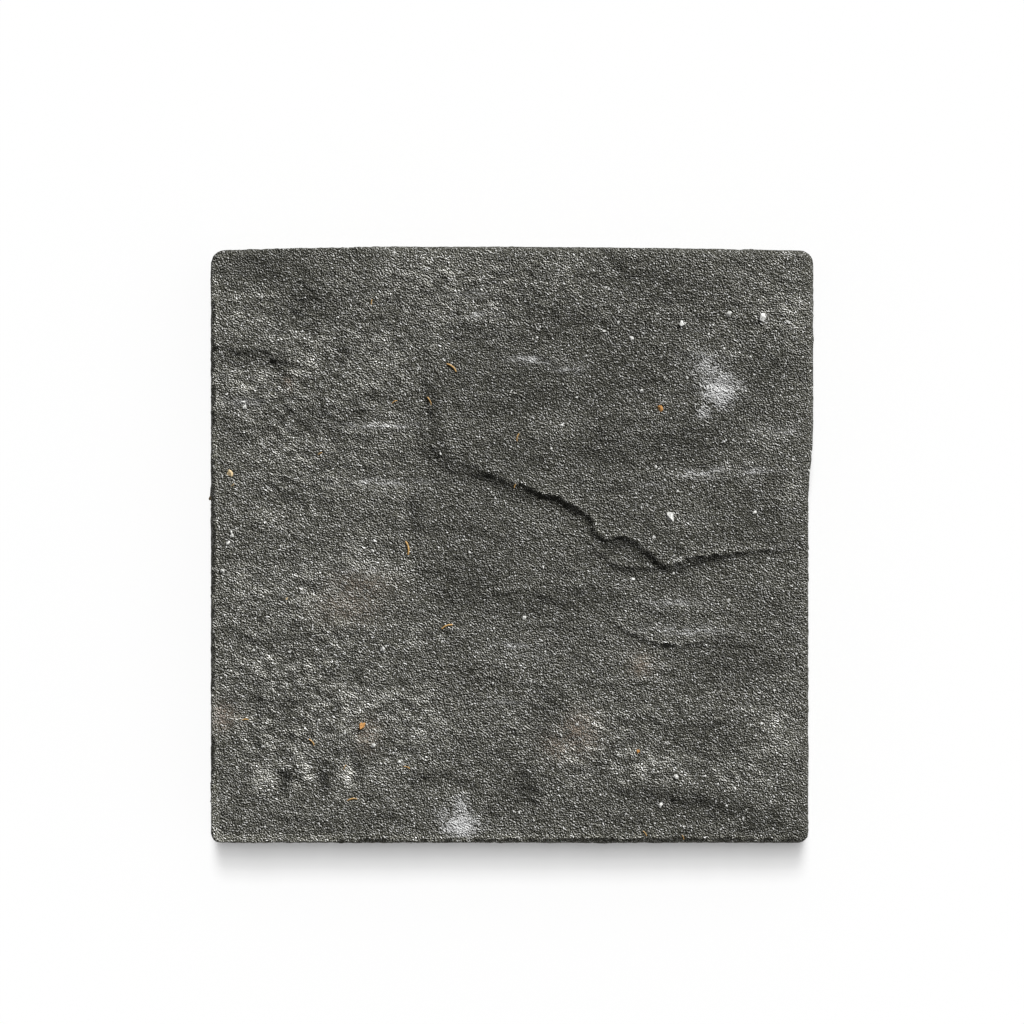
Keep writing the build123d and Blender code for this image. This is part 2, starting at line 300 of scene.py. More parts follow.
class StoneSettings(bpy.types.PropertyGroup):
    """Sizes and colours of the stone's riven concrete."""

    cells: IntProperty(
        name="Cells", description="Mesh cells along each side of the face", default=270, min=90
    )
    grain_size: FloatProperty(
        name="Grain size", description="Width of a sand grain", default=0.68 * MM, unit="LENGTH"
    )
    grain_depth: FloatProperty(
        name="Grain depth", description="Depth of the sandy relief", default=1.9 * MM, unit="LENGTH"
    )
    lump_size: FloatProperty(
        name="Lump size", description="Width of the low lumps", default=3.1 * MM, unit="LENGTH"
    )
    lump_height: FloatProperty(
        name="Lump height", description="Height of the low lumps", default=1.95 * MM, unit="LENGTH"
    )
    cleft_length: FloatProperty(
        name="Cleft length", description="Length of the fine clefts", default=26.0 * MM, unit="LENGTH"
    )
    cleft_width: FloatProperty(
        name="Cleft width", description="Spacing of the fine clefts", default=9.0 * MM, unit="LENGTH"
    )
    cleft_step: FloatProperty(
        name="Cleft step", description="Height of a fine cleft", default=0.24 * MM, unit="LENGTH"
    )
    nick_size: FloatProperty(
        name="Nick size", description="Width of the nicks in the rim", default=4.0 * MM, unit="LENGTH"
    )
    nick_depth: FloatProperty(
        name="Nick depth", description="Depth of the nicks in the rim", default=1.0 * MM, unit="LENGTH"
    )
    pit_spacing: FloatProperty(
        name="Pit spacing", description="Spacing of the voids in the sides", default=9.0 * MM,
        unit="LENGTH",
    )
    pit_depth: FloatProperty(
        name="Pit depth", description="Depth of the voids in the sides", default=1.1 * MM,
        unit="LENGTH",
    )
    concrete_colour: FloatVectorProperty(
        name="Concrete", description="Charcoal body of the concrete", subtype="COLOR", size=4,
        default=(0.083, 0.082, 0.066, 1.0),
    )
    # Painted shade on the grain flanks that face away from the key lamp
    painted_shade_colour: FloatVectorProperty(
        name="Hollows", description="Dark dust between the grains", subtype="COLOR", size=4,
        default=(0.008, 0.0078, 0.0045, 1.0),
    )
    # Painted highlights on the grain flanks that face the key lamp
    painted_highlight_colour: FloatVectorProperty(
        name="Sand", description="Worn tips of the sand grains", subtype="COLOR", size=4,
        default=(0.375, 0.371, 0.348, 1.0),
    )
    # Colour of the bloom and scuffs, and of the painted glints
    bloom_and_glint_colour: FloatVectorProperty(
        name="Bloom", description="Pale lime bloom and scuffs", subtype="COLOR", size=4,
        default=(0.66, 0.66, 0.65, 1.0),
    )
    stain_colour: FloatVectorProperty(
        name="Stain", description="Faint tan stains", subtype="COLOR", size=4,
        default=(0.34, 0.26, 0.20, 1.0),
    )


class InclusionSettings(bpy.types.PropertyGroup):
    """Chips, grains and straw bits in the concrete."""

    chip_colour: FloatVectorProperty(
        name="Chips", description="White aggregate", subtype="COLOR", size=4,
        default=(0.66, 0.66, 0.63, 1.0),
    )
    tan_colour: FloatVectorProperty(
        name="Tan grains", description="Tan grains among the chips", subtype="COLOR", size=4,
        default=(0.60, 0.46, 0.26, 1.0),
    )
    sand_density: FloatProperty(
        name="Sand density", description="White sand grains on a square metre", default=22000.0
    )
    sand_cluster: FloatProperty(
        name="Sand cluster", description="Width of a cluster of sand grains", default=22.0 * MM,
        unit="LENGTH",
    )
    sand_smallest: FloatProperty(
        name="Smallest grain", description="Width of the smallest sand grains", default=0.45 * MM,
        unit="LENGTH",
    )
    sand_largest: FloatProperty(
        name="Largest grain", description="Width of the largest sand grains", default=1.5 * MM,
        unit="LENGTH",
    )
    rust_colour: FloatVectorProperty(
        name="Rusty grains", description="Rust-brown grains", subtype="COLOR", size=4,
        default=(0.50, 0.24, 0.06, 1.0),
    )
    straw_colour: FloatVectorProperty(
        name="Straw", description="Straw bits", subtype="COLOR", size=4,
        default=(0.52, 0.31, 0.10, 1.0),
    )
    straw_width: FloatProperty(
        name="Straw width", description="Width of a straw bit", default=0.7 * MM, unit="LENGTH"
    )


class StageSettings(bpy.types.PropertyGroup):
    """Floor, light and camera."""

    view_width: FloatProperty(
        name="View width", description="Width that the picture takes in at the face",
        default=0.5051, unit="LENGTH",
    )
    view_rise: FloatProperty(
        name="View rise", description="How far the view's middle lies behind the stone's",
        default=16.2 * MM, unit="LENGTH",
    )
    lens: FloatProperty(name="Lens", description="Focal length", default=135.0, unit="CAMERA")
    key_level: FloatProperty(
        name="Key level", description="Share of the light that the key lamp gives a level face",
        default=0.87,
    )
    fill_level: FloatProperty(
        name="Fill level", description="Share of the light that comes from all round", default=0.13
    )
    key_turn: FloatProperty(
        name="Key turn", description="Where the key lamp stands, from +X",
        default=math.radians(55.0), subtype="ANGLE",
    )
    key_height: FloatProperty(
        name="Key height", description="The key lamp's height over the horizon",
        default=math.radians(26.0), subtype="ANGLE",
    )
    key_softness: FloatProperty(
        name="Key softness", description="Width of the key lamp as seen from the stone",
        default=math.radians(9.0), subtype="ANGLE",
    )
    floor_colour: FloatVectorProperty(
        name="Floor", description="Pale floor", subtype="COLOR", size=4,
        default=(0.8, 0.8, 0.8, 1.0),
    )


def add_node(tree, kind, inputs=None, **settings):
    """A node of this kind. Its inputs take a value, or a socket to link."""
    made = tree.nodes.new(kind)
    for name, value in settings.items():
        setattr(made, name, value)
    for name, value in (inputs or {}).items():
        if isinstance(value, bpy.types.NodeSocket):
            tree.links.new(value, made.inputs[name])
        else:
            made.inputs[name].default_value = value
    return made


def maths(tree, operation, *values):
    """The result of a Math node on these values."""
    return add_node(tree, "ShaderNodeMath", dict(enumerate(values)), operation=operation).outputs[0]


def vectors(tree, operation, *values):
    """The vector result of a Vector Math node on these values."""
    made = add_node(tree, "ShaderNodeVectorMath", dict(enumerate(values)), operation=operation)
    return made.outputs["Vector"]


def remap(tree, value, low, high, to_low=0.0, to_high=1.0):
    """The value eased from one range to another."""
    inputs = {"Value": value, "From Min": low, "From Max": high, "To Min": to_low, "To Max": to_high}
    made = add_node(tree, "ShaderNodeMapRange", inputs, interpolation_type="SMOOTHSTEP")
    return made.outputs["Result"]


def speckle(tree, place, size, detail=2.0, roughness=0.5, warp=0.0):
    """Noise with features of this size, from 0 to 1."""
    inputs = {"Vector": place, "Detail": detail, "Roughness": roughness, "Distortion": warp}
    made = add_node(tree, "ShaderNodeTexNoise", inputs)
    if isinstance(size, bpy.types.NodeSocket):
        tree.links.new(maths(tree, "DIVIDE", 1.0, size), made.inputs["Scale"])
    else:
        made.inputs["Scale"].default_value = 1.0 / size
    return made.outputs[0]


def stretch(tree, place, x, y, z):
    """The place with its axes divided by these lengths."""
    return vectors(tree, "DIVIDE", place, (x, y, z))


def blend(tree, share, under, over):
    """One colour laid over another by a share from 0 to 1."""
    inputs = {0: share, 6: under, 7: over}
    return add_node(tree, "ShaderNodeMix", inputs, data_type="RGBA").outputs[2]


def geometry_tree(name, sockets):
    """An empty Geometry Nodes tree with these named inputs, its input node and its output node."""
    tree = bpy.data.node_groups.new(name, "GeometryNodeTree")
    tree.interface.new_socket("Geometry", in_out="INPUT", socket_type="NodeSocketGeometry")
    for socket_name, socket_type in sockets.items():
        tree.interface.new_socket(socket_name, in_out="INPUT", socket_type=socket_type)
    tree.interface.new_socket("Geometry", in_out="OUTPUT", socket_type="NodeSocketGeometry")
    return tree, tree.nodes.new("NodeGroupInput").outputs, tree.nodes.new("NodeGroupOutput")


def finish_tree(tree, result, exit_node, material):
    """Ends a tree in plain geometry with its material."""
    whole = add_node(tree, "GeometryNodeRealizeInstances", {"Geometry": result})
    dressed = add_node(
        tree, "GeometryNodeSetMaterial", {"Geometry": whole.outputs[0], "Material": material}
    )
    tree.links.new(dressed.outputs[0], exit_node.inputs[0])


def run_tree(piece, tree, values):
    """Runs a tree on a piece and leaves its result as the piece's plain mesh."""
    modifier = piece.modifiers.new(tree.name, "NODES")
    modifier.node_group = tree
    for item in tree.interface.items_tree:
        if item.in_out == "INPUT" and item.name in values:
            modifier[item.identifier] = values[item.name]
    graph = bpy.context.evaluated_depsgraph_get()
    made = bpy.data.meshes.new_from_object(
        piece.evaluated_get(graph), preserve_all_data_layers=True, depsgraph=graph
    )
    piece.modifiers.remove(modifier)
    old = piece.data
    piece.data = made
    bpy.data.meshes.remove(old)
    if not made.polygons:
        raise RuntimeError(f"{tree.name} made no faces")


def add_piece(name, mesh):
    """A new object at the origin that holds this mesh."""
    piece = bpy.data.objects.new(name, mesh)
    bpy.context.scene.collection.objects.link(piece)
    return piece


def seat(piece, *replaced):
    """Puts a finished piece on the stone's body."""
    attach(piece, BODY)
    if replaced:
        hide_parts(*replaced)


def new_material(name):
    """An empty material, its tree and its shader."""
    material = bpy.data.materials.new(name)
    material.use_nodes = True
    tree = material.node_tree
    return material, tree, tree.nodes["Principled BSDF"]


# The stone's mesh
RIM_INSET = 6.0 * MM  # from the outline in to the first ring of the face
RIM_CENTRE_DROP = 8.0 * MM  # from the face down to the point that the rim turns about
RIM_ANGLES = (72.0, 56.0, 44.0, 34.0, 24.0, 14.0, 0.0)
SIDE_LEVELS = (0.86, 0.72, 0.58, 0.44, 0.31, 0.19, 0.10, 0.045, 0.02)  # shares of the rim's height
BASE_INSET = 1.2 * MM
CORNER = 7.0 * MM
BASE_CELLS = 9  # cells of the side to one of the base
BASE_GRID_INSET = 12.0 * MM
RAY = 0.1
# How ledges and marks wander from where they are drawn: size of the bends, and how far
WANDER_SEED = 1
LINE_WANDERS = ((9.0, 1.3), (3.2, 0.8))
PATCH_WANDERS = ((24.0, 4.5), (9.0, 3.0), (3.5, 1.8))
LEDGE_RISE = 0.7 * MM  # steps higher than this are broken off steeply
FRESH_DROP = 0.36 * MM  # how far a fresh ledge drops sheer before its foot slopes out
FRESH_SLOPE = math.tan(math.radians(26.0))
WORN_SLOPE = math.tan(math.radians(14.0))
FOOT_CELLS = 5  # how far out from a ledge its foot can slope
INNER_CELLS = 8  # how many cells in from the rim the face's height takes its full share of the tone
PAINTED_LIGHT_WAY = Vector((-0.6, -0.8, 0.0))  # the way to the part of the rim that is painted paler, on the side away from the key lamp
UV_NAME = "OFBake"
UV_FACE = 0.79  # share of the map that the face takes
UV_MARGIN = 0.005


class Solid:
    """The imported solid, felt with straight rays."""

    def __init__(self, name):
        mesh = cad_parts[name].data
        corners = [vertex.co for vertex in mesh.vertices]
        faces = [tuple(face.vertices) for face in mesh.polygons]
        self.tree = BVHTree.FromPolygons(corners, faces)

    def hit(self, target, way):
        """Where a ray that comes in against this way, and runs through the target, meets the solid."""
        place = self.tree.ray_cast(target + way * RAY, -way, 2 * RAY)[0]
        if place is None:
            raise RuntimeError(f"no surface found near {target}")
        return place


def rounded(a, b, half_x, half_y, radius):
    """A place of a square from -1 to 1 laid into a rectangle with round corners."""
    x, y = abs(a) * half_x, abs(b) * half_y
    past_x = (x - half_x + radius) / radius
    past_y = (y - half_y + radius) / radius
    if past_x > 0 and past_y > 0:
        x = half_x - radius + radius * past_x * math.sqrt(1 - past_y**2 / 2)
        y = half_y - radius + radius * past_y * math.sqrt(1 - past_x**2 / 2)
    return math.copysign(x, a), math.copysign(y, b)


class Outline:
    """The stone's four sides as the solid has them, half way up."""

    def __init__(self, solid):
        self.solid = solid
        self.half_x = (stone_high.x - stone_low.x) / 2
        self.half_y = (stone_high.y - stone_low.y) / 2
        self.level = stone_high.z / 2
        self.kept = {}

    def reach(self, way, along):
        """How far a side stands from the middle, clear of its corners."""
        half = self.half_y if way.x else self.half_x
        along = max(-half + 2 * CORNER, min(half - 2 * CORNER, along))
        key = (way.x, way.y, round(along / MM, 3))
        if key not in self.kept:
            across = Vector((way.y * way.y, way.x * way.x, 0)) * along
            start = way * (self.half_x - RAY / 2) + across + Vector((0, 0, self.level))
            self.kept[key] = abs(self.solid.hit(start, way).dot(way))
        return self.kept[key]

    def place(self, a, b, inset):
        """A place of a square from -1 to 1 laid into the outline, drawn in by inset."""
        radius = max(CORNER - inset, 1.5 * MM)
        x, y = rounded(a, b, self.half_x - inset, self.half_y - inset, radius)
        side_x = self.reach(Vector((math.copysign(1, a), 0, 0)), y)
        side_y = self.reach(Vector((0, math.copysign(1, b), 0)), x)
        x *= (side_x - inset) / (self.half_x - inset)
        y *= (side_y - inset) / (self.half_y - inset)
        return Vector((x, y, 0))


def square_ring(count):
    """The places round a square of this many cells a side, anticlockwise from its front left."""
    front = [(i, 0) for i in range(count)]
    right = [(count, i) for i in range(count)]
    back = [(count - i, count) for i in range(count)]
    left = [(0, count - i) for i in range(count)]
    return front + right + back + left


def wander(x, y, wanders):
    """How far a place's marks stray from where they were drawn, in millimetres."""
    stray = Vector((0, 0, 0))
    for size, reach in wanders:
        stray += noise.noise_vector(Vector((x / size, y / size, 0))) * reach
    return stray


def spread(grid, pick):
    """For each place of a grid, the lowest or highest value within two cells of it."""
    rows, columns = grid.shape
    wide = np.pad(grid, 2, mode="edge")
    best = grid.copy()
    for down in range(5):
        for right in range(5):
            best = pick(best, wide[down:down + rows, right:right + columns])
    return best


def slope_feet(heights, fresh, cell):
    """The face's heights with a slope at the foot of each ledge, where crumbs lie."""
    rows, columns = heights.shape
    reach = FOOT_CELLS
    crests = np.pad(heights - fresh * FRESH_DROP, reach, mode="edge")
    slopes = np.pad(WORN_SLOPE + fresh * (FRESH_SLOPE - WORN_SLOPE), reach, mode="edge")
    best = heights.copy()
    for down in range(2 * reach + 1):
        for right in range(2 * reach + 1):
            away = math.hypot(down - reach, right - reach) * cell
            near = slice(down, down + rows), slice(right, right + columns)
            best = np.maximum(best, crests[near] - away * slopes[near])
    return best


def break_ledges(heights):
    """The face's heights with its high steps made steep, as broken stone is."""
    low = spread(heights, np.minimum)
    high = spread(heights, np.maximum)
    rise = high - low
    share = (heights - low) / np.maximum(rise, 1e-9)
    for _ in range(2):
        share = share * share * (3 - 2 * share)
    amount = np.clip(rise / LEDGE_RISE - 1, 0, 1)
    return heights + amount * (low + rise * share - heights)


def face_places(solid, outline, cells):
    """The places of the face's grid, row by row from the front."""
    up = Vector((0, 0, 1))
    places = []
    for j in range(cells + 1):
        for i in range(cells + 1):
            a, b = 2 * i / cells - 1, 2 * j / cells - 1
            spot = outline.place(a, b, RIM_INSET)
            inside = min(1.0, 6 * (1 - max(abs(a), abs(b))))
            stray = wander(spot.x / MM, spot.y / MM, LINE_WANDERS) * MM * inside
            felt = solid.hit(Vector((spot.x + stray.x, spot.y + stray.y, 0)), up)
            places.append(Vector((spot.x, spot.y, felt.z)))
    heights = np.array([place.z for place in places]).reshape(cells + 1, cells + 1)
    cell = 2 * (outline.half_x - RIM_INSET) / cells
    fresh = patch_share(np.array(places) / MM, FRESH_PATCHES).reshape(heights.shape)
    for place, height in zip(places, slope_feet(break_ledges(heights), fresh, cell).flat):
        place.z = height
    return places


def stone_mesh(cells):
    """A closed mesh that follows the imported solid: a dense face, a rim, sides and a plain base."""
    solid = Solid(NODE)
    outline = Outline(solid)
    up = Vector((0, 0, 1))
    places = face_places(solid, outline, cells)
    faces = []
    maps = []

    def face_index(i, j):
        return j * (cells + 1) + i

    def map_place(x, y):
        return UV_MARGIN + x * (UV_FACE - UV_MARGIN), UV_MARGIN + y * (UV_FACE - UV_MARGIN)

    for j in range(cells):
        for i in range(cells):
            corners = ((i, j), (i + 1, j), (i + 1, j + 1), (i, j + 1))
            faces.append([face_index(*corner) for corner in corners])
            maps.append([map_place(x / cells, y / cells) for x, y in corners])

    # Rim, sides and foot, ring by ring
    ring_places = square_ring(cells)
    ring = [face_index(i, j) for i, j in ring_places]
    around = len(ring)
    sides = [outline.place(2 * i / cells - 1, 2 * j / cells - 1, 0.0) for i, j in ring_places]
    outward = []
    for k in range(around):
        along = sides[(k + 1) % around] - sides[k - 1]
        outward.append(Vector((along.y, -along.x, 0)).normalized())
    rim_levels = [places[index].z - RIM_CENTRE_DROP for index in ring]
    rings = [ring]

    def add_ring(spots):
        first = len(places)
        places.extend(spots)
        rings.append(list(range(first, first + around)))

    for angle in RIM_ANGLES:
        lift, lean = math.sin(math.radians(angle)), math.cos(math.radians(angle))
        spots = []
        for k in range(around):
            centre = places[ring[k]].copy()
            centre.z = rim_levels[k]
            spots.append(solid.hit(centre, outward[k] * lean + up * lift))
        add_ring(spots)
    for share in SIDE_LEVELS:
        spots = []
        for k in range(around):
            centre = places[ring[k]].copy()
            centre.z = rim_levels[k] * share
            spots.append(solid.hit(centre, outward[k]))
        add_ring(spots)
    add_ring([sides[k] - outward[k] * BASE_INSET for k in range(around)])

    def side_map(k, level):
        """A side's strip of the map: front and back along its top, right and left along its right."""
        side, step = divmod(k, cells)
        strip = UV_FACE + 2 * UV_MARGIN + (side // 2) * (1 - UV_FACE) / 2
        across = strip + level * ((1 - UV_FACE) / 2 - 3 * UV_MARGIN)
        along = map_place(step / cells, 0)[0]
        return (along, across) if side % 2 == 0 else (across, along)

    for r, (upper, lower) in enumerate(zip(rings, rings[1:])):
        for k in range(around):
            after = (k + 1) % around
            faces.append([upper[k], lower[k], lower[after], upper[after]])
            end = k + 1 - 1e-6
            top, bottom = r / (len(rings) - 1), (r + 1) / (len(rings) - 1)
            maps.append([side_map(k, top), side_map(k, bottom), side_map(end, bottom), side_map(end, top)])

    # Base: a coarse grid, and a band of wider faces out to the foot
    coarse = cells // BASE_CELLS
    first = len(places)
    for j in range(coarse + 1):
        for i in range(coarse + 1):
            places.append(outline.place(2 * i / coarse - 1, 2 * j / coarse - 1, BASE_GRID_INSET))

    def base_index(i, j):
        return first + j * (coarse + 1) + i

    for j in range(coarse):
        for i in range(coarse):
            corners = ((i, j), (i, j + 1), (i + 1, j + 1), (i + 1, j))
            faces.append([base_index(*corner) for corner in corners])
    inner = [base_index(i, j) for i, j in square_ring(coarse)]
    foot = rings[-1]
    for k in range(len(inner)):
        start = k * BASE_CELLS
        edge = [foot[(start + step) % around] for step in range(BASE_CELLS + 1)]
        faces.append([inner[k], inner[(k + 1) % len(inner)], *reversed(edge)])
    corner = UV_FACE + 2 * UV_MARGIN
    for face in faces[len(maps):]:
        shares = [(places[index].x / outline.half_x, places[index].y / outline.half_y) for index in face]
        size = (1 - UV_MARGIN - corner) / 2
        maps.append([(corner + size * (1 - x), corner + size * (1 + y)) for x, y in shares])

    mesh = bpy.data.meshes.new("riven_stone")
    mesh.from_pydata(places, [], faces)
    flat = [value for face in maps for place in face for value in place]
    mesh.uv_layers.new(name=UV_NAME).data.foreach_set("uv", flat)
    from_edge = np.minimum(np.arange(cells + 1), np.arange(cells, -1, -1))
    inner = np.zeros(len(places))
    inner[:(cells + 1) ** 2] = np.clip(np.minimum.outer(from_edge, from_edge) / INNER_CELLS, 0, 1).flat
    mesh.attributes.new("inner", "FLOAT", "POINT").data.foreach_set("value", inner)
    on_face = np.zeros(len(places))
    on_face[:(cells + 1) ** 2] = 1.0
    for k, rim in enumerate(rings[1:len(RIM_ANGLES) + 1]):
        on_face[rim] = 1.0 - (k + 1) / len(RIM_ANGLES)
    mesh.attributes.new("face", "FLOAT", "POINT").data.foreach_set("value", on_face)
    # Painted light: marks the rim that faces away from the key lamp, to be made paler
    rub_and_painted_light = np.zeros(len(places))
    for rim in rings[1:len(RIM_ANGLES) + 1]:
        rub_and_painted_light[rim] = [max(0.0, way.dot(PAINTED_LIGHT_WAY)) for way in outward]
    mesh.attributes.new("rub_and_painted_light", "FLOAT", "POINT").data.foreach_set("value", rub_and_painted_light)
    return mesh


def patch_share(spots, patches):
    """How strongly these patches cover each spot."""
    share = np.zeros(len(spots))
    for x, y, half_length, half_height, strength in patches:
        away = ((spots[:, 0] - x) / half_length) ** 2 + ((spots[:, 1] - y) / half_height) ** 2
        share = np.maximum(share, strength * np.exp(-away))
    return share


def off_line(spots, line):
    """How far each spot is off a line, which side it is on, and a taper to the line's ends."""
    line = np.array(line)
    nearest = np.full(len(spots), np.inf)
    side = np.zeros(len(spots))
    along = np.zeros(len(spots))
    for k, (start, end) in enumerate(zip(line, line[1:])):
        run = end - start
        from_start = spots[:, :2] - start
        share = np.clip(from_start @ run / (run @ run), 0, 1)
        off = from_start - share[:, None] * run
        away = np.hypot(off[:, 0], off[:, 1])
        closer = away < nearest
        nearest[closer] = away[closer]
        side[closer] = (run[0] * off[:, 1] - run[1] * off[:, 0])[closer]
        along[closer] = ((k + share) / (len(line) - 1))[closer]
    return nearest, side, np.sqrt(np.clip(np.sin(np.pi * along), 0, 1))


def cleft_height(spots, clefts):
    """How high the small clefts raise each spot: steeply at their line, and fading behind it."""
    height = np.zeros(len(spots))
    for rise, reach, line in clefts:
        away, side, taper = off_line(spots, line)
        height = np.maximum(height, rise * taper * np.exp(-((away / reach) ** 2)) * (side > 0))
    return height


def line_share(spots, lines):
    """How strongly these lines cover each spot."""
    share = np.zeros(len(spots))
    for strength, half_width, line in lines:
        away, _, taper = off_line(spots, line)
        share = np.maximum(share, strength * taper * np.exp(-((away / half_width) ** 2)))
    return share


def mark_mesh(mesh):
    """Stores the face's marks: its tone, blooms, stains, scuffs, lumps, dimples and clefts."""
    spots = np.zeros(len(mesh.vertices) * 3)
    mesh.vertices.foreach_get("co", spots)
    spots = spots.reshape(-1, 3) / MM
    top = np.zeros(len(mesh.vertices))
    mesh.attributes["face"].data.foreach_get("value", top)
    ragged = spots + np.array([wander(x, y, PATCH_WANDERS) for x, y, _ in spots])
    spots = spots + np.array([wander(x, y, LINE_WANDERS) for x, y, _ in spots])
    marks = {
        "tone": (patch_share(ragged, PALE_PATCHES) - patch_share(ragged, DARK_PATCHES)) * top,
        # painted shade along ledges, creases and dimples
        "painted_ledge_shade": line_share(spots, PAINTED_SHADE_LINES) * top,
        "bloom": patch_share(spots, BLOOMS) * top,
        "stain": patch_share(spots, STAINS) * top,
        "scuff": patch_share(spots, SCUFFS) * top,
        "lumpy": patch_share(ragged, LUMPY_PATCHES) * top,
        "shaped": (cleft_height(spots, SMALL_CLEFTS) - patch_share(spots, DIMPLES)) * top * MM,
    }
    for name, values in marks.items():
        mesh.attributes.new(name, "FLOAT", "POINT").data.foreach_set("value", values)


def read_mark(tree, name):
    """A stored mark, in a Geometry Nodes tree."""
    made = add_node(tree, "GeometryNodeInputNamedAttribute", {"Name": name}, data_type="FLOAT")
    return made.outputs["Attribute"]


QUIET_LUMPS = 0.35  # lumps outside the lumpy patches, as a share of theirs
LUMP_TURN = math.radians(36.0)  # the way that the lumps run, clockwise from +X
LUMP_STRETCH = 2.6
SHARP_ANGLE = math.radians(38.0)
RISE_ROUNDS = {"raised": 4, "raised_wide": 40}  # how far round it a place is compared, in mesh cells


def relief_tree(material):
    """Riven relief: low lumps, fine clefts that step along the bed, a nicked rim and voids in the sides.

    Keeps how far each place is raised over its surroundings, for the tone.
    """
    lengths = (
        "Lump Size", "Lump Height", "Cleft Length", "Cleft Width", "Cleft Step",
        "Nick Size", "Nick Depth", "Pit Spacing", "Pit Depth",
    )
    tree, given, exit_node = geometry_tree(
        "riven_relief", {name: "NodeSocketFloat" for name in lengths}
    )
    place = add_node(tree, "GeometryNodeInputPosition").outputs[0]
    normal = add_node(tree, "GeometryNodeInputNormal").outputs["Normal"]
    face = read_mark(tree, "face")
    side = maths(tree, "SUBTRACT", 1.0, face)

    # Lumps, longer than they are wide, with creased tops
    turned = add_node(
        tree, "ShaderNodeVectorRotate", {"Vector": place, "Angle": LUMP_TURN}, rotation_type="Z_AXIS"
    ).outputs[0]
    long_size = maths(tree, "MULTIPLY", given["Lump Size"], LUMP_STRETCH)
    size = add_node(
        tree, "ShaderNodeCombineXYZ", {"X": long_size, "Y": given["Lump Size"], "Z": given["Lump Size"]}
    ).outputs[0]
    along = vectors(tree, "DIVIDE", turned, size)
    lump = maths(tree, "SUBTRACT", speckle(tree, along, 1.0, 3.0, 0.5, 0.4), 0.5)
    crease = maths(tree, "ABSOLUTE", maths(tree, "SUBTRACT", speckle(tree, along, 1.7, 2.0, 0.5), 0.5))
    lump = maths(tree, "SUBTRACT", lump, crease)
    amount = maths(tree, "MULTIPLY_ADD", read_mark(tree, "lumpy"), 1.0 - QUIET_LUMPS, QUIET_LUMPS)
    lumps = maths(tree, "MULTIPLY", maths(tree, "MULTIPLY", lump, given["Lump Height"]), amount)

    # Fine clefts: a wavy bed cut into flat steps
    pitch = add_node(
        tree, "ShaderNodeCombineXYZ",
        {"X": given["Cleft Length"], "Y": given["Cleft Width"], "Z": given["Cleft Width"]},
    ).outputs[0]
    bed = speckle(tree, vectors(tree, "DIVIDE", place, pitch), 1.0, 4.0, 0.6, 0.5)
    level = maths(tree, "MULTIPLY", bed, 9.0)
    slope = remap(tree, maths(tree, "FRACT", level), 0.70, 0.95)
    step = maths(tree, "ADD", maths(tree, "FLOOR", level), slope)
    steps = maths(tree, "MULTIPLY", maths(tree, "SUBTRACT", step, 4.5), given["Cleft Step"])
    steps = maths(tree, "MULTIPLY", steps, face)

    # Voids in the sides, left by air in the mould
    cells = add_node(
        tree, "ShaderNodeTexVoronoi",
        {"Vector": place, "Scale": maths(tree, "DIVIDE", 1.0, given["Pit Spacing"])},
    )
    chance = add_node(tree, "ShaderNodeSeparateXYZ", {0: cells.outputs["Color"]}).outputs[0]
    pit = remap(tree, cells.outputs["Distance"], maths(tree, "MULTIPLY", chance, 0.32), 0.0)
    pits = maths(tree, "MULTIPLY", maths(tree, "MULTIPLY", pit, given["Pit Depth"]), side)

    # Nicks in the rim, where it is neither face nor side
    rim = maths(tree, "MULTIPLY", maths(tree, "MULTIPLY", face, side), 4.0)
    nick = remap(tree, speckle(tree, place, given["Nick Size"], 3.0, 0.6), 0.42, 0.75)
    nicks = maths(tree, "MULTIPLY", maths(tree, "MULTIPLY", nick, given["Nick Depth"]), rim)

    height = maths(tree, "ADD", maths(tree, "ADD", lumps, steps), read_mark(tree, "shaped"))
    height = maths(tree, "SUBTRACT", maths(tree, "SUBTRACT", height, pits), nicks)
    above = remap(
        tree, add_node(tree, "ShaderNodeSeparateXYZ", {0: place}).outputs["Z"], 0.5 * MM, 4.0 * MM
    )
    offset = add_node(
        tree, "ShaderNodeVectorMath", {0: normal, "Scale": maths(tree, "MULTIPLY", height, above)},
        operation="SCALE",
    ).outputs[0]
    moved = add_node(
        tree, "GeometryNodeSetPosition", {"Geometry": given["Geometry"], "Offset": offset}
    ).outputs[0]

    raised = moved
    for name, rounds in RISE_ROUNDS.items():
        smooth = add_node(
            tree, "GeometryNodeBlurAttribute", {"Value": place, "Iterations": rounds},
            data_type="FLOAT_VECTOR",
        ).outputs[0]
        rise = add_node(
            tree, "ShaderNodeVectorMath", {0: vectors(tree, "SUBTRACT", place, smooth), 1: normal},
            operation="DOT_PRODUCT",
        ).outputs["Value"]
        raised = add_node(
            tree, "GeometryNodeStoreNamedAttribute",
            {"Geometry": raised, "Name": name, "Value": rise}, data_type="FLOAT", domain="POINT",
        ).outputs[0]
    shaded = add_node(
        tree, "GeometryNodeSetShadeSmooth", {"Geometry": raised, "Shade Smooth": True}
    ).outputs[0]
    bend = add_node(tree, "GeometryNodeInputMeshEdgeAngle").outputs["Unsigned Angle"]
    edged = add_node(
        tree, "GeometryNodeSetShadeSmooth",
        {
            "Geometry": shaded,
            "Selection": maths(tree, "GREATER_THAN", bend, SHARP_ANGLE),
            "Shade Smooth": False,
        },
        domain="EDGE",
    ).outputs[0]
    finish_tree(tree, edged, exit_node, material)
    return tree


